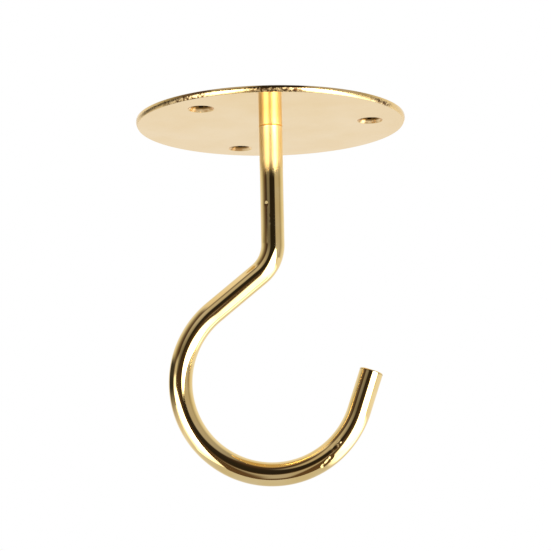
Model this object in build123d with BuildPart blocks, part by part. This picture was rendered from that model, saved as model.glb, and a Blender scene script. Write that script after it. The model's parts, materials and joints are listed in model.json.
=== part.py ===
from build123d import *

import os
from math import radians, tan

# Ceiling hook for a hanging basket: a round screw-on plate and a bent rod riveted through it.
# Millimetres. The origin is the centre of the plate's upper face, which lies against the
# ceiling. +Z points up into the ceiling. The rod bends in the XZ plane, with its mouth to +X.

# Ceiling plate, a disc blanked from sheet
plate_diameter = 69.0
plate_thickness = 1.5
rolled_edge_radius = 0.45  # blanking draws the lower rim over
upper_edge_chamfer = 0.12  # the sheared upper rim is only deburred

# Countersunk screw holes, entered from below
screw_count = 3
screw_circle_diameter = 51.5
screw_hole_diameter = 4.7
screw_sink_diameter = 6.6
screw_sink_angle = 90.0
screw_azimuth = -10.6  # first hole, from +X towards +Y

# Rivet spigot, turned on the rod's upper end and hammered flush into the plate
spigot_diameter = 4.0
spigot_clearance = 0.05  # between the spigot and its hole, all round
rivet_head_diameter = 5.2
rivet_head_angle = 90.0

# Bent rod, measured along its centre line
rod_diameter = 6.0
shoulder_edge_chamfer = 0.1  # breaks the edge that seats on the plate
stem_length = 30.5  # straight, from the plate down to the first bend
stem_bend_radius = 10.0
stem_bend_angle = 51.0
shank_length = 15.0  # straight, slanting from the first bend to the hook
hook_radius = 23.0
hook_sweep_angle = 212.0
tip_length = 10.5  # straight, at the free end
tip_edge_radius = 0.5

# The plate's lower face, looking down: the rod seats on it and the screws enter through it
underside = Plane(origin=(0, 0, -plate_thickness), x_dir=(1, 0, 0), z_dir=(0, 0, -1))

os.makedirs("parts", exist_ok=True)

# Ceiling plate
with BuildPart() as ceiling_plate:
    with BuildSketch(underside):
        Circle(plate_diameter / 2)
    extrude(amount=-plate_thickness)
    rims = ceiling_plate.edges().filter_by(GeomType.CIRCLE).sort_by(Axis.Z)
    fillet(rims[0], rolled_edge_radius)
    chamfer(rims[-1], upper_edge_chamfer)
    # Seen on the underside's own plane, an azimuth counts the other way round
    with Locations(underside):
        with PolarLocations(screw_circle_diameter / 2, screw_count, -screw_azimuth):
            CounterSinkHole(
                radius=screw_hole_diameter / 2,
                counter_sink_radius=screw_sink_diameter / 2,
                depth=plate_thickness,
                counter_sink_angle=screw_sink_angle,
            )
    # The rivet's hole is sunk from above, so that its head ends flush with the ceiling
    with Locations(Plane.XY):
        CounterSinkHole(
            radius=spigot_diameter / 2 + spigot_clearance,
            counter_sink_radius=rivet_head_diameter / 2,
            depth=plate_thickness,
            counter_sink_angle=rivet_head_angle,
        )
ceiling_plate.part.label = "ceiling_plate"
export_step(ceiling_plate.part, "parts/ceiling_plate.step")

# Hook rod: round bar bent twice in one plane, each straight run tangent to its bends
with BuildPart() as hook_rod:
    with BuildLine(Plane.XZ) as centre_line:
        stem = Line((0, -plate_thickness), (0, -plate_thickness - stem_length))
        stem_bend = JernArc(stem @ 1, stem % 1, stem_bend_radius, -stem_bend_angle)
        shank = Line(stem_bend @ 1, stem_bend @ 1 + shank_length * (stem_bend % 1))
        hook_bend = JernArc(shank @ 1, shank % 1, hook_radius, hook_sweep_angle)
        tip = Line(hook_bend @ 1, hook_bend @ 1 + tip_length * (hook_bend % 1))
    with BuildSketch(underside):
        Circle(rod_diameter / 2)
    sweep(path=centre_line.wires()[0])
    bar_ends = hook_rod.faces().filter_by(GeomType.PLANE)
    chamfer(bar_ends.sort_by(Axis.Z)[-1].edges(), shoulder_edge_chamfer)
    fillet(bar_ends.sort_by(Axis.Z)[0].edges(), tip_edge_radius)
    # Spigot through the plate, its end spread to fill the rivet's countersink
    with BuildSketch(underside):
        Circle(spigot_diameter / 2)
    extrude(amount=-plate_thickness)
    head_spread = (rivet_head_diameter - spigot_diameter) / 2
    with Locations(Plane.XY):
        Cone(
            bottom_radius=spigot_diameter / 2,
            top_radius=rivet_head_diameter / 2,
            height=head_spread / tan(radians(rivet_head_angle / 2)),
            align=(Align.CENTER, Align.CENTER, Align.MAX),
        )
hook_rod.part.label = "hook_rod"
export_step(hook_rod.part, "parts/hook_rod.step")

runs = [stem, stem_bend, shank, hook_bend, tip]
print("bar length below the plate", sum(run.length for run in runs))
print("hook centre", hook_bend.center_point, "free end", tip @ 1)
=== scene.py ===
# %% [markdown]
# # A polished ceiling hook
# The object is a gold-plated hook that is screwed under a ceiling. It has two pieces: a thin
# round plate with three countersunk screw holes, and a bent round bar that is riveted into the
# middle of the plate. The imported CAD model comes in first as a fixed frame, in metres. Each
# piece is then modelled again in the same place, with softer edges and the small marks of use.

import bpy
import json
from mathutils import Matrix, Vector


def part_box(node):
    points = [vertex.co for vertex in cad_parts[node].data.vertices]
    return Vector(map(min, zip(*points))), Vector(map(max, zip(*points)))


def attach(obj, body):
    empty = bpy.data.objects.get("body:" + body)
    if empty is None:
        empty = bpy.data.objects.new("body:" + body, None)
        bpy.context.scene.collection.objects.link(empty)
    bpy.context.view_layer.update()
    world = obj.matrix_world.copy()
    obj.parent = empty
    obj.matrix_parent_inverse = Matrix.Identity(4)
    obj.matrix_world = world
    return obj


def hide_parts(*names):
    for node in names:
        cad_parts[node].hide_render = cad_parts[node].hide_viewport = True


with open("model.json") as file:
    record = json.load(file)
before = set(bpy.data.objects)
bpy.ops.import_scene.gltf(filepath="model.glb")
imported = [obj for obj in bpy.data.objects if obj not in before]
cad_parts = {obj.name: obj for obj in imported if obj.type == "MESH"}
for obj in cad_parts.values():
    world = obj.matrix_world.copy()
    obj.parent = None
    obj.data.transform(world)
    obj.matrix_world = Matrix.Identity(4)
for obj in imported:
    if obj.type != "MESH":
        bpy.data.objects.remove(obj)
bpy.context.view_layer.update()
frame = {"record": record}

# %% [markdown]
# ## Sizes
# A model that follows a frame should read its sizes from it wherever it can. The plate's
# radius and thickness, the bar's radius and the screw circle come from the CAD boxes and
# the record. What a box doesn't show, such as a bend's radius, is a named value here.

# %% Sizes read from the frame
import json
from math import cos, hypot, radians, sin

import bmesh
import bpy
from mathutils import Matrix, Vector

MM = 0.001
TOUCH = 0.002 * MM  # two places closer than this are the same place

plate_low, plate_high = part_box("ceiling_plate")
bar_low, bar_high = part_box("hook_rod")
plate_radius = min(plate_high.x, plate_high.y, -plate_low.x, -plate_low.y)
plate_thickness = plate_high.z - plate_low.z
bar_radius = bar_high.y

mounts = {mount["name"]: mount for mount in frame["record"]["mounts"]}
screw_pattern = mounts["screw_holes"]["dims"]
screw_circle_radius = screw_pattern["pcd_mm"] * MM / 2
screw_hole_radius = screw_pattern["hole_r_mm"] * MM
screw_count = int(screw_pattern["count"])
print("plate radius", plate_radius, "thickness", plate_thickness, "bar radius", bar_radius)

# %% [markdown]
# ## Camera
# The picture is taken from a little below the plate, with a long lens. The camera's place
# and tilt were measured from the outline of the object. A camera looks down its own -Z axis,
# so it is first tipped up by a quarter turn plus the pitch, then turned and rolled.

# %% Camera at the picture's viewing angle
camera_place = Vector((0.0008, -0.3232, -0.0806))
camera_pitch = radians(7.138)  # up
camera_yaw = radians(0.051)  # to the left
camera_roll = radians(-1.141)
image_pixels = 551
focal_pixels = 1281.1

bpy.ops.object.select_all(action="DESELECT")
bpy.ops.object.camera_add(location=camera_place)
photo_camera = bpy.context.object
photo_camera.name = "photo_camera"
photo_camera.matrix_world = (
    Matrix.Translation(camera_place)
    @ Matrix.Rotation(camera_yaw, 4, "Z")
    @ Matrix.Rotation(radians(90) + camera_pitch, 4, "X")
    @ Matrix.Rotation(camera_roll, 4, "Z")
)
photo_camera.data.sensor_width = 36.0
photo_camera.data.lens = focal_pixels * photo_camera.data.sensor_width / image_pixels
photo_camera.data.clip_start = 0.01
bpy.context.scene.camera = photo_camera
print("lens", photo_camera.data.lens, "mm")

# %% [markdown]
# ## Helpers for editing
# Most of Blender's mesh tools act on what is selected. By hand the selection is made with
# the mouse. In a script it is made by place: every vertex, edge or face is tested by the
# places of its corners, and those that pass are selected.

# %% Helpers: one object alone, and a selection by place
def choose_only(piece):
    """Leaves one piece selected and active, in object mode."""
    if bpy.context.mode != "OBJECT":
        bpy.ops.object.mode_set(mode="OBJECT")
    bpy.ops.object.select_all(action="DESELECT")
    piece.select_set(True)
    bpy.context.view_layer.objects.active = piece


def edit_only(piece):
    """Leaves one piece selected and opens it in edit mode."""
    choose_only(piece)
    bpy.ops.object.mode_set(mode="EDIT")


def pick(piece, kind, test):
    """Selects the vertices, edges or faces of a piece in edit mode whose corners pass a test."""
    bpy.ops.mesh.select_mode(type=kind)
    bpy.ops.mesh.select_all(action="DESELECT")
    mesh = bmesh.from_edit_mesh(piece.data)
    items = {"VERT": mesh.verts, "EDGE": mesh.edges, "FACE": mesh.faces}[kind]
    chosen = []
    for item in items:
        corners = [item.co] if kind == "VERT" else [corner.co for corner in item.verts]
        if test(corners):
            chosen.append(item)
    for item in chosen:
        item.select_set(True)
    mesh.select_flush_mode()
    bmesh.update_edit_mesh(piece.data)
    return len(chosen)


def from_axis(place):
    """Distance from the stem's axis."""
    return hypot(place.x, place.y)


# %% [markdown]
# ## Plate: the blank
# The plate is a disc punched from sheet. The punch leaves the upper rim sharp, and on the
# lower side the metal breaks away and is buffed over, so the rim leans in there. A cylinder
# has the right outline at once, and the bevel tool gives each rim its own rounding. A bevel
# is as tall as it is wide, so the lower one is stretched upwards afterwards.

# %% Plate blank with a rolled lower rim
rim_steps = 640
rolled_edge_radius = 0.45 * MM
rolled_edge_height = 0.95 * MM
rolled_edge_profile = 0.38  # 0.5 would be round, and less is flatter
upper_edge_chamfer = 0.12 * MM

bpy.ops.object.select_all(action="DESELECT")
bpy.ops.mesh.primitive_cylinder_add(
    vertices=rim_steps,
    radius=plate_radius,
    depth=plate_thickness,
    location=(0, 0, -plate_thickness / 2),
)
plate_disc = bpy.context.object
plate_disc.name = "plate_disc"
bpy.ops.object.transform_apply(location=True, rotation=True, scale=True)

edit_only(plate_disc)
pick(plate_disc, "EDGE", lambda ends: all(end.z < -plate_thickness + TOUCH for end in ends))
bpy.ops.mesh.bevel(
    offset=rolled_edge_radius, segments=10, profile=rolled_edge_profile, affect="EDGES"
)
pick(
    plate_disc, "VERT", lambda ends: ends[0].z < -plate_thickness + rolled_edge_radius + TOUCH
)
bpy.ops.transform.resize(
    value=(1, 1, rolled_edge_height / rolled_edge_radius),
    center_override=(0, 0, -plate_thickness),
)
pick(plate_disc, "EDGE", lambda ends: all(end.z > -TOUCH for end in ends))
bpy.ops.mesh.bevel(offset=upper_edge_chamfer, segments=2, profile=0.5, affect="EDGES")
bpy.ops.object.mode_set(mode="OBJECT")
print("plate blank", len(plate_disc.data.polygons), "faces")

# %% [markdown]
# ## Plate: the broken band
# The punch cuts only part of the way and the rest of the sheet breaks off. The cut part of
# the edge is smooth, and the broken part below it is grainy. A noise in the material would
# do from afar. Here the band's rows of vertices are moved in and out by a seeded shake.

# %% Grain on the broken rim
shear_depth = 0.008 * MM
shake_seed = 7
band_low = -plate_thickness + 0.1 * MM  # the foot of the rounding stays smooth
band_high = -plate_thickness + rolled_edge_height + TOUCH

edit_only(plate_disc)
band_count = pick(
    plate_disc,
    "VERT",
    lambda ends: band_low < ends[0].z < band_high and from_axis(ends[0]) > plate_radius / 2,
)
band_scale = 1 - shear_depth / plate_radius
bpy.ops.transform.resize(value=(band_scale, band_scale, 1), center_override=(0, 0, 0))
bpy.ops.transform.vertex_random(offset=shear_depth, uniform=0.0, normal=1.0, seed=shake_seed)
bpy.ops.object.mode_set(mode="OBJECT")
print("broken band", band_count, "vertices")

# %% [markdown]
# ## Plate: screw holes
# Three screws go up through the plate, and their heads lie flush in cones cut from below.
# Each hole is one cutter: a truncated cone whose small end is extruded up through the
# sheet. The cutter is made once and copied round the screw circle, and a Boolean modifier
# takes each copy out of the disc.

# %% Cutters for the countersunk screw holes
screw_sink_radius = 3.3 * MM
first_screw_azimuth = radians(-10.6)
overrun = 0.2 * MM  # the cutter stands this far out of both faces
hole_steps = 96
screw_sink_depth = screw_sink_radius - screw_hole_radius

screw_centres = []
for number in range(screw_count):
    azimuth = first_screw_azimuth + number * radians(360 / screw_count)
    screw_centres.append(Vector((cos(azimuth), sin(azimuth), 0)) * screw_circle_radius)


def add_sink_cutter(name, large_radius, small_radius, large_end_z, rise):
    """A countersink cutter on the stem's axis; rise is +1 when the screw comes from below."""
    depth = large_radius - small_radius
    bpy.ops.object.select_all(action="DESELECT")
    bpy.ops.mesh.primitive_cone_add(
        vertices=hole_steps,
        radius1=large_radius + overrun if rise > 0 else small_radius,
        radius2=small_radius if rise > 0 else large_radius + overrun,
        depth=depth + overrun,
        location=(0, 0, large_end_z + rise * (depth - overrun) / 2),
    )
    cutter = bpy.context.object
    cutter.name = name
    bpy.ops.object.transform_apply(location=True, rotation=True, scale=True)
    edit_only(cutter)
    small_end_z = large_end_z + rise * depth
    pick(cutter, "FACE", lambda corners: all(abs(c.z - small_end_z) < TOUCH for c in corners))
    bpy.ops.mesh.extrude_region_move(
        TRANSFORM_OT_translate={"value": (0, 0, rise * (plate_thickness - depth + overrun))}
    )
    bpy.ops.object.mode_set(mode="OBJECT")
    return cutter


def cut_out(piece, cutter):
    """Takes a cutter out of a piece and deletes the cutter."""
    choose_only(piece)
    cut = piece.modifiers.new("cut", "BOOLEAN")
    cut.operation = "DIFFERENCE"
    cut.solver = "EXACT"
    cut.object = cutter
    bpy.ops.object.modifier_apply(modifier=cut.name)
    bpy.data.objects.remove(cutter)


screw_cutter = add_sink_cutter(
    "screw_cutter", screw_sink_radius, screw_hole_radius, -plate_thickness, 1
)
for centre in screw_centres:
    cutter = screw_cutter.copy()
    cutter.data = screw_cutter.data.copy()
    cutter.data.transform(Matrix.Translation(centre))
    bpy.context.scene.collection.objects.link(cutter)
    cut_out(plate_disc, cutter)
bpy.data.objects.remove(screw_cutter)
print("screw holes at", [tuple(round(v, 5) for v in centre) for centre in screw_centres])

# %% [markdown]
# ## Plate: the rivet's hole and the hole lips
# The bar's spigot goes up through a hole in the middle, which is sunk from above for the
# rivet's head. Plating builds up softly on every sharp edge, so the lips of the sinks are
# rounded by a very small bevel: it is what catches the thin bright line round each hole.

# %% Rivet hole and softened lips
spigot_radius = 2.0 * MM
spigot_clearance = 0.05 * MM
rivet_head_radius = 2.6 * MM
lip_round = 0.1 * MM
lip_reach = 5 * TOUCH  # the Boolean leaves the lips this close to their place

rivet_cutter = add_sink_cutter(
    "rivet_cutter", rivet_head_radius, spigot_radius + spigot_clearance, 0.0, -1
)
cut_out(plate_disc, rivet_cutter)


def on_screw_lip(ends):
    """True for an edge of a screw hole's mouth on the plate's lower face."""
    for centre in screw_centres:
        if all(
            abs((Vector((end.x, end.y, 0)) - centre).length - screw_sink_radius) < lip_reach
            and abs(end.z + plate_thickness) < lip_reach
            for end in ends
        ):
            return True
    return False


edit_only(plate_disc)
lip_edges = pick(plate_disc, "EDGE", on_screw_lip)
bpy.ops.mesh.bevel(offset=lip_round, segments=4, profile=0.5, affect="EDGES")
bpy.ops.mesh.select_all(action="SELECT")
bpy.ops.mesh.remove_doubles(threshold=TOUCH / 4)
bpy.ops.mesh.normals_make_consistent(inside=False)
bpy.ops.object.mode_set(mode="OBJECT")
print("lip edges", lip_edges)

# %% [markdown]
# ## Plate: a flat mirror
# Smooth shading averages the direction of neighbouring faces. Next to a bevel that would
# make a flat mirror look dished, so faces are weighted by their area: the large flat face
# then keeps its own direction right up to the rounding.

# %% Shading that keeps the flat faces flat
crease_angle = radians(35)  # a fold sharper than this stays a crease


def smooth_with_flats(piece):
    """Smooth shading up to an angle, with the large faces deciding the direction."""
    choose_only(piece)
    bpy.ops.object.shade_smooth_by_angle(angle=crease_angle)
    weighted = piece.modifiers.new("flat_faces", "WEIGHTED_NORMAL")
    weighted.mode = "FACE_AREA"
    weighted.keep_sharp = True
    bpy.ops.object.modifier_apply(modifier=weighted.name)


smooth_with_flats(plate_disc)
print("plate", len(plate_disc.data.vertices), "vertices", len(plate_disc.data.polygons), "faces")

# %% [markdown]
# ## Bar: bent as in the shop
# The bar is one length of round stock, bent twice in one plane. It is modelled in the order
# in which it is made: a circle is extruded down the stem, spun round the first bend,
# extruded along the shank, spun round the bowl and extruded to the tip. The spin tool keeps
# each run tangent to the next. A bevelled curve would be quicker, but here every ring of
# vertices is known, and the marks of use need them close together.

# %% Circle, extrusions and spins along the bar
bar_steps = 96
ring_spacing = 0.32 * MM
root_height = 0.5 * MM  # the end of the bar that is turned and riveted
stem_length = 30.5 * MM
stem_bend_radius = 10.0 * MM
stem_bend_angle = radians(51.0)
shank_length = 15.0 * MM
hook_radius = 23.0 * MM
hook_sweep = radians(212.0)
tip_length = 10.5 * MM

bpy.ops.object.select_all(action="DESELECT")
bpy.ops.mesh.primitive_circle_add(
    vertices=bar_steps,
    radius=bar_radius,
    fill_type="NOTHING",
    location=(0, 0, -plate_thickness - root_height),
)
hook_bar = bpy.context.object
hook_bar.name = "hook_bar"
bpy.ops.object.transform_apply(location=True, rotation=True, scale=True)
edit_only(hook_bar)

bar_end = Vector((0, 0, -plate_thickness - root_height))
bar_heading = Vector((0, 0, -1))


def pick_bar_end():
    """Selects the ring of vertices at the bar's present end."""
    pick(
        hook_bar,
        "EDGE",
        lambda ends: all(
            abs((end - bar_end).dot(bar_heading)) < TOUCH
            and (end - bar_end).length < bar_radius * 1.1
            for end in ends
        ),
    )


def run_straight(length):
    """Extrudes the bar's end straight on, in rings."""
    global bar_end
    rings = max(1, round(length / ring_spacing))
    for ring in range(rings):
        bpy.ops.mesh.extrude_edges_move(
            TRANSFORM_OT_translate={"value": bar_heading * (length / rings)}
        )
    bar_end = bar_end + bar_heading * length
    pick_bar_end()


def run_bend(radius, angle):
    """Spins the bar's end round a bend; the spin tool counts its angle the other way."""
    global bar_end, bar_heading
    side = Vector((bar_heading.z, 0, -bar_heading.x)) * (1 if angle > 0 else -1)
    bend_centre = bar_end + side * radius
    steps = round(abs(angle) * (radius + bar_radius / 2) / ring_spacing)
    bpy.ops.mesh.spin(steps=steps, angle=-angle, center=bend_centre, axis=(0, 1, 0))
    turn = Matrix.Rotation(angle, 3, "Y")
    bar_end = bend_centre + turn @ (bar_end - bend_centre)
    bar_heading = turn @ bar_heading
    pick_bar_end()
    return bend_centre


pick_bar_end()
run_straight(stem_length - root_height)
stem_bend_centre = run_bend(stem_bend_radius, stem_bend_angle)
run_straight(shank_length)
hook_centre = run_bend(hook_radius, -hook_sweep)
run_straight(tip_length)
print("bar end", tuple(bar_end), "hook centre", tuple(hook_centre))
print("bar reaches down to", hook_centre.z - hook_radius - bar_radius, "CAD", bar_low.z)

# %% [markdown]
# ## Bar: the cut end
# The free end is sawn square and tumbled, so its edge is slightly round. The open ring is
# closed by one face, its edge is bevelled, and an inset keeps the face itself flat.

# %% Free end with a rounded edge
tip_edge_radius = 0.5 * MM
end_face_rings = [0.4 * MM, 0.9 * MM]  # widths of the rings inset in the end face

pick_bar_end()
bpy.ops.mesh.edge_face_add()
pick_bar_end()
bpy.ops.mesh.bevel(offset=tip_edge_radius, segments=6, profile=0.5, affect="EDGES")
pick(
    hook_bar,
    "FACE",
    lambda corners: all(abs((c - bar_end).dot(bar_heading)) < TOUCH for c in corners),
)
for width in end_face_rings:
    bpy.ops.mesh.inset(thickness=width)
print("free end faces", bpy.context.object.data.total_face_sel)

# %% [markdown]
# ## Bar: shoulder, spigot and rivet head
# At its upper end the bar is turned down to a spigot. The shoulder seats on the plate, and
# the spigot's end is hammered out into the sink on the plate's upper face. The hammering
# also squeezes the shoulder out into a low bead. Its edge is broken, and that shows as a fine
# dark line at the joint. The first ring is extruded up again and again, and scaled to the
# next radius each time.

# %% Turned and riveted upper end
def pick_ring(height, radius):
    """Selects the ring of edges round the stem's axis at a height and a radius."""
    return pick(
        hook_bar,
        "EDGE",
        lambda ends: all(
            abs(end.z - height) < TOUCH and abs(from_axis(end) - radius) < TOUCH for end in ends
        ),
    )


rivet_head_height = rivet_head_radius - spigot_radius
head_edge = 0.06 * MM  # the hammered head's worn edge
bead = 0.05 * MM
undercut = 0.12 * MM
seat = -plate_thickness
# height and radius of each next ring: bead, undercut, shoulder, spigot and rivet head
turned_rings = [
    (seat - root_height * 0.8, bar_radius + bead * 0.15),
    (seat - root_height * 0.6, bar_radius + bead * 0.7),
    (seat - root_height * 0.45, bar_radius + bead),
    (seat - root_height * 0.3, bar_radius + bead * 0.7),
    (seat - root_height * 0.2, bar_radius),
    (seat - root_height * 0.12, bar_radius - undercut * 0.6),
    (seat, bar_radius - undercut),
    (seat, spigot_radius),
    (-rivet_head_height, spigot_radius),
    (-head_edge, rivet_head_radius - head_edge),
    (-head_edge / 3, rivet_head_radius - head_edge * 2),
    (-head_edge / 3, rivet_head_radius * 0.7),
    (-head_edge, rivet_head_radius * 0.45),
]
ring_height = seat - root_height
ring_radius = bar_radius
pick_ring(ring_height, ring_radius)
for next_height, next_radius in turned_rings:
    bpy.ops.mesh.extrude_edges_move(
        TRANSFORM_OT_translate={"value": (0, 0, next_height - ring_height)}
    )
    growth = next_radius / ring_radius
    bpy.ops.transform.resize(value=(growth, growth, 1), center_override=(0, 0, next_height))
    ring_height, ring_radius = next_height, next_radius
bpy.ops.mesh.edge_face_add()
bpy.ops.mesh.select_all(action="SELECT")
bpy.ops.mesh.remove_doubles(threshold=TOUCH / 4)
bpy.ops.mesh.normals_make_consistent(inside=False)
bpy.ops.object.mode_set(mode="OBJECT")
print("bar", len(hook_bar.data.vertices), "vertices", len(hook_bar.data.polygons), "faces")

# %% [markdown]
# ## Bar: nicks
# A hook that has been in a box with others carries small knocks and a scratch, and its
# plating has a blister or two. Each one is a row of vertices pushed in, or pulled out for a
# blister, with proportional editing taking their neighbours along. They are placed by the
# distance along the bar and the angle round it.

# %% Small knocks on the stem and the bowl
front = Vector((0, -1, 0))  # towards the camera, across the bends' plane
# length of each run, and for a bend its centre, its radius and the sense of its turn
runs = [
    (stem_length, None, None, 0),
    (stem_bend_radius * stem_bend_angle, stem_bend_centre, stem_bend_radius, 1),
    (shank_length, None, None, 0),
    (hook_radius * hook_sweep, hook_centre, hook_radius, -1),
    (tip_length, None, None, 0),
]


def along_bar(distance):
    """The centre line's place and heading at a distance from the plate."""
    place, heading = Vector((0, 0, -plate_thickness)), Vector((0, 0, -1))
    for length, centre, radius, sense in runs:
        step = min(distance, length)
        if centre is None:
            place = place + heading * step
        else:
            turn = Matrix.Rotation(sense * step / radius, 3, "Y")
            place, heading = centre + turn @ (place - centre), turn @ heading
        distance -= step
    return place, heading


def on_bar(distance, round_angle):
    """A point of the bar's surface and its outward direction; angle 0 is the front."""
    place, heading = along_bar(distance)
    side = heading.cross(front)
    outward = front * cos(round_angle) + side * sin(round_angle)
    return place + outward * bar_radius, outward


mark_steps = 20  # places along each mark
mark_reach = 3 * MM  # a vertex further from the mark's middle isn't tested
# distance along the bar and angle round it at both ends, reach and depth; a blister in the
# plating has a depth below zero
knocks = [
    ((20.5 * MM, 31), (20.5 * MM, 31), 0.75 * MM, 0.09 * MM),
    ((23.9 * MM, 7), (23.9 * MM, 7), 0.6 * MM, 0.03 * MM),
    ((25.4 * MM, 12), (25.4 * MM, 12), 0.6 * MM, 0.025 * MM),
    ((129.8 * MM, -10), (129.4 * MM, -10), 0.7 * MM, -0.12 * MM),
    ((127.5 * MM, -11), (127.5 * MM, -11), 0.6 * MM, -0.07 * MM),
    ((123.0 * MM, 29), (126.0 * MM, 15), 0.6 * MM, 0.08 * MM),
]
edit_only(hook_bar)
for start, end, reach, depth in knocks:
    marks = []
    for step in range(mark_steps + 1):
        distance = start[0] + (end[0] - start[0]) * step / mark_steps
        angle = start[1] + (end[1] - start[1]) * step / mark_steps
        marks.append(on_bar(distance, radians(angle))[0])
    middle = marks[mark_steps // 2]
    mesh = bmesh.from_edit_mesh(hook_bar.data)
    around = [vertex.co for vertex in mesh.verts if (vertex.co - middle).length < mark_reach]
    nearest = {min(around, key=lambda place: (place - mark).length).to_tuple() for mark in marks}
    pick(hook_bar, "VERT", lambda ends: ends[0].to_tuple() in nearest)
    outward = on_bar((start[0] + end[0]) / 2, radians((start[1] + end[1]) / 2))[1]
    bpy.ops.transform.translate(
        value=-outward * depth,
        use_proportional_edit=True,
        proportional_edit_falloff="SMOOTH",
        proportional_size=reach,
    )
bpy.ops.object.mode_set(mode="OBJECT")
smooth_with_flats(hook_bar)
print("bar length", sum(run[0] for run in runs), "knocks", len(knocks))

# %% [markdown]
# ## Bar: a map that follows the bends
# Polishing runs along a bar, so its fine lines have to follow the bends. A UV map with one
# axis along the bar and the other round it lets the material draw them as straight lines.
# Each corner's place on the map is measured from the nearest point of the centre line.

# %% UV map along and round the bar
behind = -0.5  # radians; a swing further back than this has gone round the other way


def bar_coordinates(place):
    """The distance along the bar of a point of its surface, and the centre line there."""
    found = []
    start, heading, travelled = Vector((0, 0, -plate_thickness)), Vector((0, 0, -1)), 0.0
    for length, centre, radius, sense in runs:
        if centre is None:
            step = (place - start).dot(heading)
        else:
            arm, spoke = start - centre, place - centre
            swing = Vector((arm.x, arm.z)).angle_signed(Vector((spoke.x, spoke.z)), 0.0) * sense
            if swing < behind:
                swing += radians(360)
            step = swing * radius
        step = min(max(step, 0.0), length)
        middle, direction = along_bar(travelled + step)
        found.append(((place - middle).length, travelled + step, middle, direction))
        travelled += length
        start, heading = along_bar(travelled)
    return min(found, key=lambda candidate: candidate[0])[1:]


bar_map = hook_bar.data.uv_layers.new(name="along_bar")
on_map = []
for vertex in hook_bar.data.vertices:
    distance, middle, direction = bar_coordinates(vertex.co)
    offset = vertex.co - middle
    swing = Vector((offset.dot(front), offset.dot(direction.cross(front))))
    on_map.append((distance, swing.angle_signed(Vector((1, 0)), 0.0)))
for face in hook_bar.data.polygons:
    angles = [on_map[index][1] for index in face.vertices]
    if max(angles) - min(angles) > radians(180):
        angles = [angle + radians(360) if angle < 0 else angle for angle in angles]
    for loop, index, angle in zip(face.loop_indices, face.vertices, angles):
        bar_map.data[loop].uv = (on_map[index][0], angle * bar_radius)
print("map reaches", max(corner.uv.x for corner in bar_map.data), "m along the bar")

# %% [markdown]
# ## Finish: helpers for materials
# A material is a tree of nodes: textures feed sums and ramps, and those feed the surface
# shader. By hand each node is dropped into the shader editor and wired there. A few small
# functions do the same in one line each, so that a finish reads from top to bottom.

# %% Helpers: nodes
def new_finish(name):
    """A material with its node tree and its surface shader, set to bare metal."""
    material = bpy.data.materials.new(name)
    material.use_nodes = True
    shader = material.node_tree.nodes["Principled BSDF"]
    shader.inputs["Metallic"].default_value = 1.0
    return material, material.node_tree, shader


def add_node(tree, kind, **values):
    """Adds a node and sets its named inputs; an underscore in a name stands for a space."""
    node = tree.nodes.new("ShaderNode" + kind)
    for name, value in values.items():
        node.inputs[name.replace("_", " ")].default_value = value
    return node


def add_noise(tree, coordinates, scale, detail, stretch=(1, 1, 1)):
    """A noise on some coordinates, stretched by a Mapping node."""
    mapping = add_node(tree, "Mapping", Scale=stretch)
    noise = add_node(tree, "TexNoise", Scale=scale, Detail=detail)
    tree.links.new(coordinates, mapping.inputs["Vector"])
    tree.links.new(mapping.outputs["Vector"], noise.inputs["Vector"])
    return noise.outputs["Fac"]


def add_ramp(tree, source, low, high, low_colour, high_colour):
    """Colours a value: one colour up to a low value, another from a high value on."""
    ramp = tree.nodes.new("ShaderNodeValToRGB")
    ramp.color_ramp.elements[0].position = low
    ramp.color_ramp.elements[0].color = low_colour
    ramp.color_ramp.elements[1].position = high
    ramp.color_ramp.elements[1].color = high_colour
    tree.links.new(source, ramp.inputs["Fac"])
    return ramp.outputs["Color"]


def add_range(tree, source, low, high, to_low, to_high):
    """Maps a value from one range to another, clamped."""
    spread = add_node(
        tree, "MapRange", From_Min=low, From_Max=high, To_Min=to_low, To_Max=to_high
    )
    tree.links.new(source, spread.inputs["Value"])
    return spread.outputs["Result"]


def add_maths(tree, operation, first, second):
    """One sum on two values; each is a socket or a number."""
    sum_node = tree.nodes.new("ShaderNodeMath")
    sum_node.operation = operation
    for slot, value in zip(sum_node.inputs, (first, second)):
        if isinstance(value, (int, float)):
            slot.default_value = value
        else:
            tree.links.new(value, slot)
    return sum_node.outputs["Value"]


def add_mix(tree, factor, first, second):
    """Mixes two colours by a factor; the second is a socket or a fixed colour."""
    mix = tree.nodes.new("ShaderNodeMix")
    mix.data_type = "RGBA"
    tree.links.new(factor, mix.inputs["Factor"])
    tree.links.new(first, mix.inputs["A"])
    if isinstance(second, tuple):
        mix.inputs["B"].default_value = second
    else:
        tree.links.new(second, mix.inputs["B"])
    return mix.outputs["Result"]


def add_distance(tree, source, place):
    """The distance of some coordinates from a fixed place."""
    gap = tree.nodes.new("ShaderNodeVectorMath")
    gap.operation = "DISTANCE"
    gap.inputs[1].default_value = place
    tree.links.new(source, gap.inputs[0])
    return gap.outputs["Value"]


def add_bump(tree, height, distance, below):
    """A bump of a real height in metres, on top of another unless that is None."""
    bump = add_node(tree, "Bump", Strength=1.0, Distance=distance)
    tree.links.new(height, bump.inputs["Height"])
    if below is not None:
        tree.links.new(below, bump.inputs["Normal"])
    return bump.outputs["Normal"]


# %% [markdown]
# ## Finish: gold plating on the bar
# Polished plating is nearly a mirror, so its look is mostly what it reflects. What makes it
# real is the little that isn't perfect: a tone that drifts by a few percent, polishing lines
# that run along the bar, slow waves left by the bending, and a few pits under the plating.
# The polishing wheel doesn't reach into the corner by the plate, so the bar is duller there.

# %% Plating on the bar
gold_deep = (0.90, 0.66, 0.28, 1)
gold_pale = (0.94, 0.72, 0.36, 1)
corner_dullness = 0.42
corner_start = 9 * MM  # distances from the plate between which the dullness ends
corner_end = 14 * MM

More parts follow.
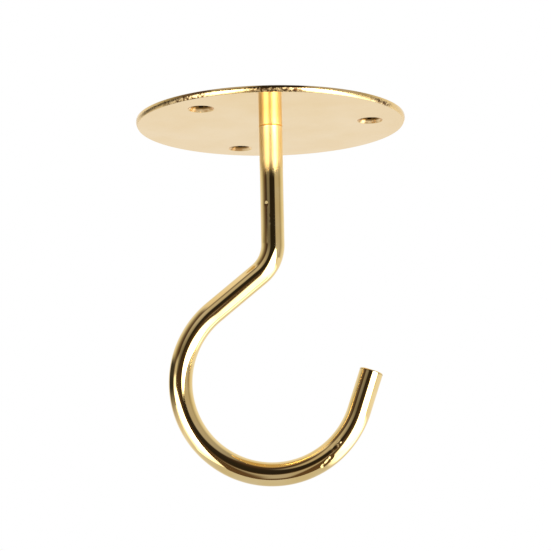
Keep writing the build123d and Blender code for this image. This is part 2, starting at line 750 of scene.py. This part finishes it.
bar_plating, tree, shader = new_finish("bar_plating")
places = tree.nodes.new("ShaderNodeTexCoord").outputs["Object"]
map_node = tree.nodes.new("ShaderNodeUVMap")
map_node.uv_map = bar_map.name
along = map_node.outputs["UV"]
tone = add_noise(tree, places, 160.0, 4.0)
colour = add_ramp(tree, tone, 0.35, 0.65, gold_deep, gold_pale)
tree.links.new(colour, shader.inputs["Base Color"])

polish = add_noise(tree, along, 1.0, 3.0, (220, 9000, 1))
patches = add_noise(tree, places, 420.0, 3.0)
dull = add_maths(
    tree,
    "ADD",
    add_range(tree, patches, 0.4, 0.75, 0.045, 0.06),
    add_range(tree, polish, 0.55, 0.8, 0.0, 0.02),
)
map_axes = tree.nodes.new("ShaderNodeSeparateXYZ")
tree.links.new(along, map_axes.inputs["Vector"])
in_corner = add_range(
    tree, map_axes.outputs["X"], corner_start, corner_end, corner_dullness, 0.0
)
dull = add_maths(tree, "ADD", dull, in_corner)
tree.links.new(dull, shader.inputs["Roughness"])
shader.inputs["Anisotropic"].default_value = 0.3
grain_direction = tree.nodes.new("ShaderNodeTangent")
grain_direction.direction_type = "UV_MAP"
grain_direction.uv_map = bar_map.name
tree.links.new(grain_direction.outputs["Tangent"], shader.inputs["Tangent"])

waves = add_noise(tree, along, 1.0, 2.0, (150, 420, 1))
draw_lines = add_maths(
    tree, "MULTIPLY", polish, add_range(tree, in_corner, 0.0, corner_dullness, 0.15, 1.0)
)
pits = add_node(tree, "TexVoronoi", Scale=420.0)
tree.links.new(places, pits.inputs["Vector"])
pit_walls = add_range(tree, pits.outputs["Distance"], 0.05, 0.14, 0.0, 1.0)
normal = None
for relief, depth in (
    (waves, 0.004 * MM),
    (draw_lines, 0.002 * MM),
    (pit_walls, 0.0003 * MM),
):
    normal = add_bump(tree, relief, depth, normal)
tree.links.new(normal, shader.inputs["Normal"])
hook_bar.data.materials.clear()
hook_bar.data.materials.append(bar_plating)
print("bar plating", len(tree.nodes), "nodes")

# %% [markdown]
# ## Finish: gold plating on the plate
# The plate has four finishes in one plating. Its lower face is polished sheet, with lines in
# one direction. The broken band is grainy and dull, because plating follows the metal under
# it, and in three stretches it is dark brown with gold crumbs. The sinks are cut last: the
# cutter leaves rings, and the plating is thin and brown there, a brown that is partly painted
# shade of the recess, and the bore is dark brown as painted shade. The upper face, which no one
# sees, is left as rolled. The radius, the height and the distance from a screw, all from
# object coordinates, say which finish a point gets.

# %% Where each finish lies on the plate
rim_start = plate_radius - 0.5 * MM  # radii between which the rim's finish comes in
rim_full = plate_radius - 0.35 * MM
teeth_height = 0.25 * MM  # the line between cut and break wanders this far
# azimuth from the front in degrees, and half the length, of each dark brown stretch
dark_stretch_places = [(-36, 8.5 * MM), (3, 8 * MM), (52, 5 * MM)]

plate_plating, tree, shader = new_finish("plate_plating")
places = tree.nodes.new("ShaderNodeTexCoord").outputs["Object"]
split = tree.nodes.new("ShaderNodeSeparateXYZ")
tree.links.new(places, split.inputs["Vector"])
level = split.outputs["Z"]
flatten = tree.nodes.new("ShaderNodeVectorMath")
flatten.operation = "MULTIPLY"
flatten.inputs[1].default_value = (1, 1, 0)
tree.links.new(places, flatten.inputs[0])
flat = flatten.outputs["Vector"]

outer = add_range(tree, add_distance(tree, flat, (0, 0, 0)), rim_start, rim_full, 0.0, 1.0)
teeth = add_noise(tree, flat, 1900.0, 2.0)
height = add_maths(
    tree, "ADD", level, add_range(tree, teeth, 0.3, 0.7, -teeth_height, teeth_height)
)
below_cut = add_range(tree, height, band_high + 0.05 * MM, band_high - 0.1 * MM, 0.0, 1.0)
broken = add_maths(tree, "MULTIPLY", outer, below_cut)
dark_stretch = 0.0
# three stretches of the broken band that are coloured darker brown
for azimuth, reach in dark_stretch_places:
    turn = radians(azimuth)
    middle = (plate_radius * sin(turn), -plate_radius * cos(turn), 0)
    near = add_range(tree, add_distance(tree, flat, middle), reach, reach * 0.6, 0.0, 1.0)
    dark_stretch = add_maths(tree, "MAXIMUM", dark_stretch, near)
dark_stretch = add_maths(tree, "MULTIPLY", broken, add_range(tree, dark_stretch, 0.0, 1.0, 0.1, 1.0))
ceiling_side = add_range(tree, level, -0.06 * MM, -0.03 * MM, 0.0, 1.0)

from_screw = plate_radius
for centre in screw_centres:
    from_screw = add_maths(tree, "MINIMUM", from_screw, add_distance(tree, flat, centre))
in_sink = add_range(
    tree, from_screw, screw_sink_radius - 0.05 * MM, screw_sink_radius - 0.15 * MM, 0.0, 1.0
)
in_sink = add_maths(tree, "MULTIPLY", in_sink, add_maths(tree, "SUBTRACT", 1.0, ceiling_side))
print("torn stretches", len(dark_stretch_places), "sinks", len(screw_centres))

# %% [markdown]
# ## Finish: the plate's colours
# Plating has one colour only where it is thick. In the sinks it thins out to brown, which is
# partly painted shade of the recess, and the bore above it is painted shade in dark brown.
# In three stretches of the broken band, crumbs of gold stand on dark brown. Each colour is
# mixed in where its finish lies.

# %% Colours of the plate
plate_gold_deep = (0.89, 0.62, 0.26, 1)
plate_gold_pale = (0.92, 0.67, 0.33, 1)
# brown of thin plating in the sinks, partly painted shade of the recess
thin_plating_and_shade_brown = (0.60, 0.33, 0.12, 1)
thin_gold = (1.0, 0.72, 0.38, 1)
# dark brown painted shade for the bore
bore_painted_shade = (0.26, 0.135, 0.035, 1)
stretch_brown = (0.12, 0.055, 0.02, 1)
stretch_gold = (0.92, 0.68, 0.34, 1)
# the painted shade of the bore comes in from this height up, where the plating colour stops in
# the cone
bore_shade_start = -plate_thickness + screw_sink_depth - 0.4 * MM  # the plating stops in the cone

tone = add_noise(tree, places, 70.0, 4.0)
gold = add_ramp(tree, tone, 0.35, 0.65, plate_gold_deep, plate_gold_pale)
thin_spots = add_noise(tree, places, 620.0, 2.0)
# brown and gold patches in the sinks: thin plating, with the brown partly painted shade of the
# recess
thin = add_ramp(tree, thin_spots, 0.38, 0.6, thin_plating_and_shade_brown, thin_gold)
# painted shade: above this height the bore is coloured dark brown instead of plating
in_shaded_bore = add_range(tree, level, bore_shade_start, bore_shade_start + 0.2 * MM, 0.0, 1.0)
colour = add_mix(tree, in_sink, gold, add_mix(tree, in_shaded_bore, thin, bore_painted_shade))
# dark brown with gold crumbs in three stretches of the broken band
crumbs = add_noise(tree, places, 1500.0, 3.0)
colour = add_mix(
    tree, dark_stretch, colour, add_ramp(tree, crumbs, 0.42, 0.62, stretch_brown, stretch_gold)
)
tree.links.new(colour, shader.inputs["Base Color"])
print("bare metal from", bore_shade_start, "m up")

# %% [markdown]
# ## Finish: the plate's gloss and relief
# The gloss drifts in patches and along the rolling lines, and is lower on the broken band,
# in the cones and on the ceiling side. Very low bumps, one on top of the other, add the
# sheet's waves, its rolling lines, the grain of the break and the cutter's rings.

# %% Gloss and relief of the plate
ring_rate = 24000.0  # radians of the cutter's wave in a metre

rolling = add_noise(tree, places, 1.0, 3.0, (60, 7000, 60))
patches = add_noise(tree, places, 180.0, 4.0)
in_cone = add_maths(tree, "MULTIPLY", in_sink, add_maths(tree, "SUBTRACT", 1.0, in_shaded_bore))
dull = add_maths(
    tree,
    "ADD",
    add_range(tree, patches, 0.35, 0.75, 0.05, 0.11),
    add_range(tree, rolling, 0.55, 0.8, 0.0, 0.05),
)
for part, dullness in ((broken, 0.2), (ceiling_side, 0.22), (in_cone, 0.12)):
    dull = add_maths(tree, "ADD", dull, add_maths(tree, "MULTIPLY", part, dullness))
tree.links.new(dull, shader.inputs["Roughness"])

waves = add_noise(tree, places, 55.0, 1.0)
grain = add_noise(tree, places, 5200.0, 3.0)
grain = add_maths(tree, "MULTIPLY", broken, grain)
rings = add_maths(tree, "SINE", add_maths(tree, "MULTIPLY", from_screw, ring_rate), 0.0)
rings = add_maths(tree, "MULTIPLY", rings, in_cone)
normal = None
for relief, depth in (
    (waves, 0.008 * MM),
    (rolling, 0.0004 * MM),
    (grain, 0.012 * MM),
    (rings, 0.003 * MM),
):
    normal = add_bump(tree, relief, depth, normal)
tree.links.new(normal, shader.inputs["Normal"])
plate_disc.data.materials.clear()
plate_disc.data.materials.append(plate_plating)
print("plate plating", len(tree.nodes), "nodes")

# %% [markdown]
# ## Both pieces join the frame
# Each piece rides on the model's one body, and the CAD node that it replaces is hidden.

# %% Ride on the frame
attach(plate_disc, "root")
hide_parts("ceiling_plate")
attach(hook_bar, "root")
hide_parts("hook_rod")

# %% [markdown]
# ## Studio: light table
# A mirror shows its studio, so the studio is part of the finish. Below the hook, and below
# the picture's lower edge, lies a pale light table that glows a little brighter further out.

# %% Light table
table_height = -0.45
table_radius = 2.2
table_colour = (0.98, 1.0, 1.03, 1)


def new_light(name):
    """A material with an empty node tree, and its output's surface."""
    material = bpy.data.materials.new(name)
    material.use_nodes = True
    tree = material.node_tree
    tree.nodes.clear()
    output = tree.nodes.new("ShaderNodeOutputMaterial")
    return material, tree, output.inputs["Surface"]


bpy.ops.object.select_all(action="DESELECT")
bpy.ops.mesh.primitive_circle_add(
    vertices=128, radius=table_radius, fill_type="NGON", location=(0, 0, table_height)
)
light_table = bpy.context.object
light_table.name = "light_table"
table_glow, tree, surface = new_light("table_glow")
places = tree.nodes.new("ShaderNodeTexCoord").outputs["Object"]
light = add_node(tree, "Emission", Color=table_colour)
strength = add_range(tree, add_distance(tree, places, (0, 0, 0)), 0.3, 1.0, 0.66, 0.92)
tree.links.new(strength, light.inputs["Strength"])
tree.links.new(light.outputs["Emission"], surface)
light_table.data.materials.append(table_glow)
print("light table at", table_height, "m, radius", table_radius, "m")

# %% [markdown]
# ## Studio: the room
# The sky is plain white to the camera. To the metal it is a room that is dark behind the
# camera, with a white backdrop behind the hook. A Light Path node tells the two apart.

# %% Room
backdrop_direction = (0.1, 0.995, 0.0)
# share of the way from behind the camera to the backdrop, and the tone there
room_tones = [
    (0.00, (0.022, 0.018, 0.014, 1)),
    (0.13, (0.03, 0.023, 0.018, 1)),
    (0.25, (0.075, 0.045, 0.032, 1)),
    (0.34, (0.15, 0.11, 0.09, 1)),
    (0.45, (0.30, 0.27, 0.20, 1)),
    (0.58, (0.55, 0.54, 0.48, 1)),
    (0.73, (0.81, 0.80, 0.75, 1)),
    (1.00, (0.94, 0.94, 0.92, 1)),
]

world = bpy.data.worlds.new("warm_room")
bpy.context.scene.world = world
world.use_nodes = True
tree = world.node_tree
tree.nodes.clear()
direction = tree.nodes.new("ShaderNodeTexCoord")
towards_back = tree.nodes.new("ShaderNodeVectorMath")
towards_back.operation = "DOT_PRODUCT"
towards_back.inputs[1].default_value = backdrop_direction
tree.links.new(direction.outputs["Generated"], towards_back.inputs[0])
spread = add_range(tree, towards_back.outputs["Value"], -1.0, 1.0, 0.0, 1.0)
room = tree.nodes.new("ShaderNodeValToRGB")
for position, colour in room_tones[1:-1]:
    stop = room.color_ramp.elements.new(position)
    stop.color = colour
room.color_ramp.elements[0].color = room_tones[0][1]
room.color_ramp.elements[-1].color = room_tones[-1][1]
tree.links.new(spread, room.inputs["Fac"])
for_metal = tree.nodes.new("ShaderNodeBackground")
tree.links.new(room.outputs["Color"], for_metal.inputs["Color"])
for_camera = add_node(tree, "Background", Color=(1, 1, 1, 1))
ray_kind = tree.nodes.new("ShaderNodeLightPath")
either = tree.nodes.new("ShaderNodeMixShader")
output = tree.nodes.new("ShaderNodeOutputWorld")
tree.links.new(ray_kind.outputs["Is Camera Ray"], either.inputs["Fac"])
tree.links.new(for_metal.outputs["Background"], either.inputs[1])
tree.links.new(for_camera.outputs["Background"], either.inputs[2])
tree.links.new(either.outputs["Shader"], output.inputs["Surface"])
bpy.context.scene.view_settings.view_transform = "Standard"
print("room tones", len(room_tones))

# %% [markdown]
# ## Studio: a card of light
# Each light is a plane whose corners are given as directions, seen from the middle of the
# hook. A bright plane with a hard edge makes steps in a curved mirror, so each has soft
# edges, and its strength changes towards its core. Only the metal sees the cards.

# %% Helpers: a card of light
hook_middle = Vector((0, 0, -0.05))


def seen_at(azimuth, elevation, distance):
    """A point in a direction from the hook: azimuth 0 is towards the camera, + to the right."""
    turn, rise = radians(azimuth), radians(elevation)
    return hook_middle + distance * Vector(
        (sin(turn) * cos(rise), -cos(turn) * cos(rise), sin(rise))
    )


def add_inside(tree, across, left, right, low, high):
    """1 well inside a card, and 0 at its edges; each margin is a share of its width or height."""
    inside = None
    for axis, edge, full in (
        ("X", 0.0, left),
        ("X", 1.0, 1.0 - right),
        ("Y", 0.0, low),
        ("Y", 1.0, 1.0 - high),
    ):
        if edge == full:
            continue
        fade = add_node(tree, "MapRange", From_Min=edge, From_Max=full)
        fade.interpolation_type = "SMOOTHSTEP"
        tree.links.new(across.outputs[axis], fade.inputs["Value"])
        share = fade.outputs["Result"]
        inside = share if inside is None else add_maths(tree, "MULTIPLY", inside, share)
    return inside


def add_card(name, corners, colour, glows, core, soft):
    """A glowing card from its lower left, lower right, upper left and upper right corners.

    Its light changes from one strength at its edges to another in its core, and the card
    itself fades out at its soft edges.
    """
    bpy.ops.object.select_all(action="DESELECT")
    bpy.ops.mesh.primitive_plane_add(size=1.0)
    card = bpy.context.object
    card.name = name
    for vertex, corner in zip(card.data.vertices, corners):
        vertex.co = seen_at(*corner)
    material, tree, surface = new_light(name)
    places = tree.nodes.new("ShaderNodeTexCoord")
    across = tree.nodes.new("ShaderNodeSeparateXYZ")
    tree.links.new(places.outputs["UV"], across.inputs["Vector"])
    light = add_node(tree, "Emission", Color=colour)
    strength = add_range(tree, add_inside(tree, across, *core), 0.0, 1.0, *glows)
    tree.links.new(strength, light.inputs["Strength"])
    clear = tree.nodes.new("ShaderNodeBsdfTransparent")
    either = tree.nodes.new("ShaderNodeMixShader")
    tree.links.new(add_inside(tree, across, *soft), either.inputs["Fac"])
    tree.links.new(clear.outputs["BSDF"], either.inputs[1])
    tree.links.new(light.outputs["Emission"], either.inputs[2])
    tree.links.new(either.outputs["Shader"], surface)
    card.data.materials.append(material)
    card.visible_camera = False


# %% [markdown]
# ## Studio: soft boxes
# Two large soft boxes stand in front, one on each side of the camera, and lean back from
# the table's edge. Their reflections are the white bands along the bar. A low box on the
# right and a lamp's head on the left widen them. Between the boxes the place where the
# camera stands stays dark, with a shade below it and one pale gap in the shade, and that is
# the dark line between the bands. A wall on the right, a panel and a dark stand on the left,
# with its head and the lamp's arm close by, and a glow on the ceiling give the fainter lines.

# %% Soft boxes, wall and panel
white = (1.0, 0.99, 0.96, 1)
brown = (1.0, 0.62, 0.36, 1)
grey = (1.0, 0.96, 0.92, 1)
upwards = (0, 0, 1, 0)  # the strength changes evenly from the foot to the top
# name, corners, colour, strength at the edges and in the core, the core's margins and the
# soft edges' margins, both left, right, low and high
cards = [
    (
        "right_soft_box",
        [(34, -45, 0.55), (110, -30, 0.7), (9, 4, 1.6), (34, 6, 1.6)],
        white,
        (2.4, 17.0),
        (0.5, 0.25, 0.55, 0.5),
        (0.12, 0.1, 0, 0.12),
    ),
    (
        "right_low_box",
        [(46, -52, 0.46), (140, -46, 0.5), (72, -18, 1.2), (118, -18, 1.2)],
        white,
        (2.8, 2.8),
        upwards,
        (0.12, 0.5, 0.12, 0.4),
    ),
    (
        "left_soft_box",
        [(-98, -39, 0.6), (-31, -43, 0.58), (-67, 4, 1.6), (-10, -3, 1.6)],
        white,
        (1.8, 9.0),
        (0.5, 0.5, 0.55, 0.35),
        (0.2, 0.1, 0, 0.12),
    ),
    (
        "left_lamp_head",
        [(-73, -4, 1.7), (-35, -4, 1.7), (-70, 9, 1.7), (-40, 9, 1.7)],
        white,
        (1.7, 1.7),
        upwards,
        (0.35, 0.35, 0, 0.4),
    ),
    (
        "shade_under_camera",
        [(-42, -52, 0.52), (49, -52, 0.52), (-14, 1, 1.8), (11, 4, 1.8)],
        brown,
        (0.12, 0.07),
        upwards,
        (0.01, 0.01, 0, 0.1),
    ),
    (
        "pale_gap",
        [(-14, -48, 0.45), (13, -48, 0.45), (-8, -4, 1.2), (9, -4, 1.2)],
        grey,
        (0.48, 0.48),
        upwards,
        (0.3, 0.3, 0.1, 0.25),
    ),
    (
        "brown_edge",
        [(-42, -5, 1.75), (1, -5, 1.75), (-42, 9, 1.75), (-4, 9, 1.75)],
        brown,
        (0.10, 0.06),
        upwards,
        (0.05, 0.1, 0, 0.5),
    ),
    (
        "dark_stand",
        [(-140, -22, 0.95), (-80, -24, 0.9), (-136, 9, 1.5), (-72, 9, 1.5)],
        grey,
        (0.75, 0.035),
        (0, 0, 0.6, 0),
        (0.15, 0.05, 0, 0.2),
    ),
    (
        "stand_head",
        [(-135, 0, 0.25), (-76, 0, 0.25), (-132, 13, 0.25), (-70, 13, 0.25)],
        grey,
        (0.05, 0.05),
        upwards,
        (0.2, 0.08, 0.2, 0.5),
    ),
    (
        "lamp_arm",
        [(-73, 2, 0.3), (-35, 2, 0.3), (-70, 14, 0.3), (-40, 14, 0.3)],
        white,
        (0.6, 0.6),
        upwards,
        (0.35, 0.35, 0.25, 0.5),
    ),
    (
        "right_wall",
        [(23, -6, 2.0), (84, -22, 1.05), (34, 60, 2.0), (120, 62, 2.0)],
        grey,
        (0.55, 0.33),
        upwards,
        (0.3, 0.25, 0, 0.2),
    ),
    (
        "left_panel",
        [(-55, 3, 2.0), (-22, 3, 2.0), (-62, 48, 2.0), (12, 50, 2.0)],
        grey,
        (0.11, 0.56),
        (0, 0, 0.6, 0),
        (0.3, 0.3, 0, 0.4),
    ),
    (
        "ceiling_glow",
        [(-135, 34, 2.0), (-48, 38, 2.0), (-135, 82, 2.0), (-48, 82, 2.0)],
        grey,
        (0.9, 0.9),
        upwards,
        (0.25, 0.25, 0.2, 0.05),
    ),
]
for card in cards:
    add_card(*card)
print("cards", [card[0] for card in cards])

# %% [markdown]
# ## Last step
# The finished pieces have to stay inside the CAD model's box. At the end nothing is left
# selected.

# %% Leave nothing selected
bpy.ops.object.select_all(action="DESELECT")
